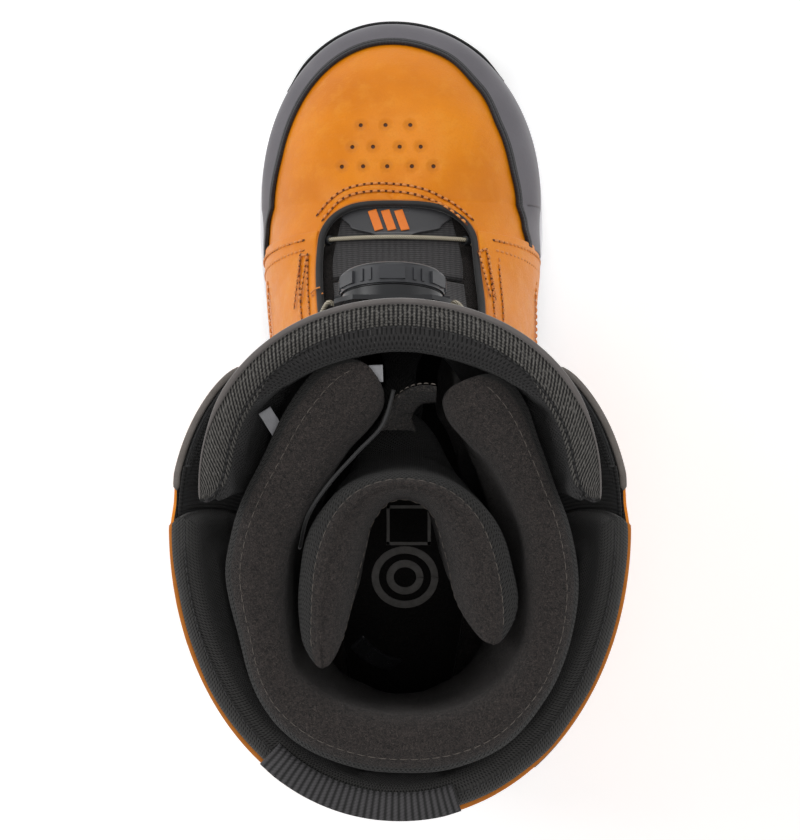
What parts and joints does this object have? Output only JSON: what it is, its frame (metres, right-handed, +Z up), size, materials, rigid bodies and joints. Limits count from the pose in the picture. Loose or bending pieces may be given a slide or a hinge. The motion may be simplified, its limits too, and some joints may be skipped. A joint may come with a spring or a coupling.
{
  "type": "snowboard boot",
  "caption": "Right snowboard boot with a smooth orange leather shell, a grey toe rand, a padded tongue with a lace dial, and a fleece-lined liner.",
  "frame": {"origin": "on the ground, at the middle of the boot's bounding box", "axes": "+Y from heel to toe, +Z up the shaft, +X to the outer (lateral) side of the right foot"},
  "size_m": [0.1484, 0.3089, 0.3011],
  "materials": {
    "rubber_black": "moulded",
    "midsole_white": "moulded foam",
    "board": "pressed fibre",
    "leather_orange": "smooth",
    "rand_grey": "satin",
    "trim_black": "smooth",
    "textile_black": "ribbed weave",
    "mesh_black": "spacer mesh",
    "binding_grey": "folded binding",
    "counter": "thermoformed",
    "dial_black": "satin",
    "dial_grey": "satin",
    "steel": "brushed",
    "lace_beige": "coated cable",
    "label_white": "woven",
    "fleece": "short pile",
    "footbed_black": "felt"
  },
  "bodies": {
    "boot": {"outsole": "rubber_black", "midsole": "midsole_white", "toe_bumper": "rubber_black", "lasting_board": "board", "vamp": "leather_orange", "toe_rand": "rand_grey", "quarter_medial": "leather_orange", "quarter_lateral": "leather_orange", "heel_panel": "trim_black", "heel_counter": "counter", "backstay": "trim_black", "shaft_medial": "leather_orange", "shaft_lateral": "leather_orange", "collar_pad": "textile_black", "ankle_badge": "dial_grey", "tongue_base": "textile_black", "tongue_badge": "dial_black", "lace_lower": "lace_beige", "guide_toe_medial": "dial_black", "guide_toe_lateral": "dial_black", "guide_ankle_medial": "dial_black", "guide_ankle_lateral": "dial_black", "liner_foot": "mesh_black", "liner_cuff": "mesh_black", "liner_strap": "fleece", "liner_ribbon": "trim_black", "footbed": "footbed_black"},
    "tongue": {"tongue_body": "textile_black", "tongue_pad": "mesh_black", "tongue_binding": "binding_grey", "tongue_label": "label_white", "dial_plate": "dial_black", "dial_base": "dial_black", "dial_screw": "steel", "lace_medial": "lace_beige", "lace_lateral": "lace_beige"},
    "flap_m": {"flap_medial": "leather_orange", "guide_flap_medial": "dial_black"},
    "flap_l": {"flap_lateral": "leather_orange", "guide_flap_lateral": "dial_black"},
    "spool": {"dial_spool": "dial_grey", "dial_pawl_disc": "dial_grey"},
    "knob": {"dial_knob": "dial_black", "dial_grip": "dial_grey"},
    "inner_tongue": {"liner_tongue": "fleece"},
    "loop": {"pull_loop": "textile_black"}
  },
  "joints": [
    {"name": "tongue_tilt", "type": "hinge", "parent": "boot", "child": "tongue", "pos_m": [-0.0028, 0.048, 0.1215], "axis": [-1, 0, 0], "range_deg": [0, 12], "deforming": ["lace_medial", "lace_lateral"]},
    {"name": "flap_medial_open", "type": "hinge", "parent": "boot", "child": "flap_m", "pos_m": [-0.054, -0.04, 0.195], "axis": [-0.204, 0.1115, 0.9726], "range_deg": [0, 24]},
    {"name": "flap_lateral_open", "type": "hinge", "parent": "boot", "child": "flap_l", "pos_m": [0.0548, -0.04, 0.195], "axis": [-0.204, -0.1115, -0.9726], "range_deg": [0, 24]},
    {"name": "dial_turn", "type": "hinge", "parent": "tongue", "child": "spool", "pos_m": [-0.0026, 0.0299, 0.2], "axis": [0, 0.9744, -0.225], "continuous": true},
    {"name": "dial_pull", "type": "slide", "parent": "spool", "child": "knob", "axis": [0, 0.9744, -0.225], "range_m": [0, 0.0025]},
    {"name": "liner_tongue_tilt", "type": "hinge", "parent": "boot", "child": "inner_tongue", "pos_m": [-0.001, 0.0245, 0.139], "axis": [-1, 0, 0], "range_deg": [-1.5, 1]},
    {"name": "pull_loop_lift", "type": "hinge", "parent": "boot", "child": "loop", "pos_m": [-0.0105, -0.115, 0.2705], "axis": [-0.9727, 0.2322, 0], "range_deg": [0, 60]}
  ],
  "couplings": [
    {"joint": "flap_medial_open", "follows": "tongue_tilt", "ratio": 2},
    {"joint": "flap_lateral_open", "follows": "tongue_tilt", "ratio": 2}
  ]
}
